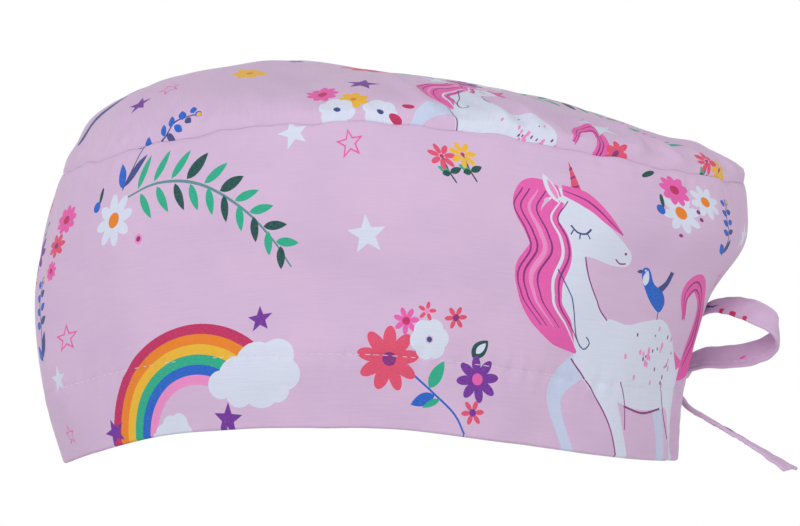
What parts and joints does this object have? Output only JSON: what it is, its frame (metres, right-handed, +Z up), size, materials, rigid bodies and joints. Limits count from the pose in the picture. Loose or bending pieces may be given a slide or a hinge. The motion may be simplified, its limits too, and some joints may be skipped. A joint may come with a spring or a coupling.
{
  "type": "surgical scrub cap",
  "caption": "Fitted cloth scrub cap in its worn form: oval crown gathered at the back, tall band with a turned-up hem, slit and bow-tied tape at the back.",
  "frame": {"origin": "middle of the head opening, level with the front of the rim", "axes": "+Z up through the crown, -Y the way the wearer faces, +X the wearer's left"},
  "size_m": [0.1648, 0.2461, 0.1331],
  "materials": {
    "printed_cotton": "matt plain-weave cotton, lilac pink with a printed pattern",
    "printed_tape": "folded and stitched tape of the same cotton",
    "thread": "pale sewing thread"
  },
  "bodies": {
    "root": {"band": "printed_cotton", "crown": "printed_cotton", "bow_knot": "printed_tape", "tie_lead_left": "printed_tape", "tie_lead_right": "printed_tape", "bow_loop_left": "printed_tape", "bow_loop_right": "printed_tape", "tie_tail_left": "printed_tape", "tie_tail_right": "printed_tape"}
  },
  "joints": []
}
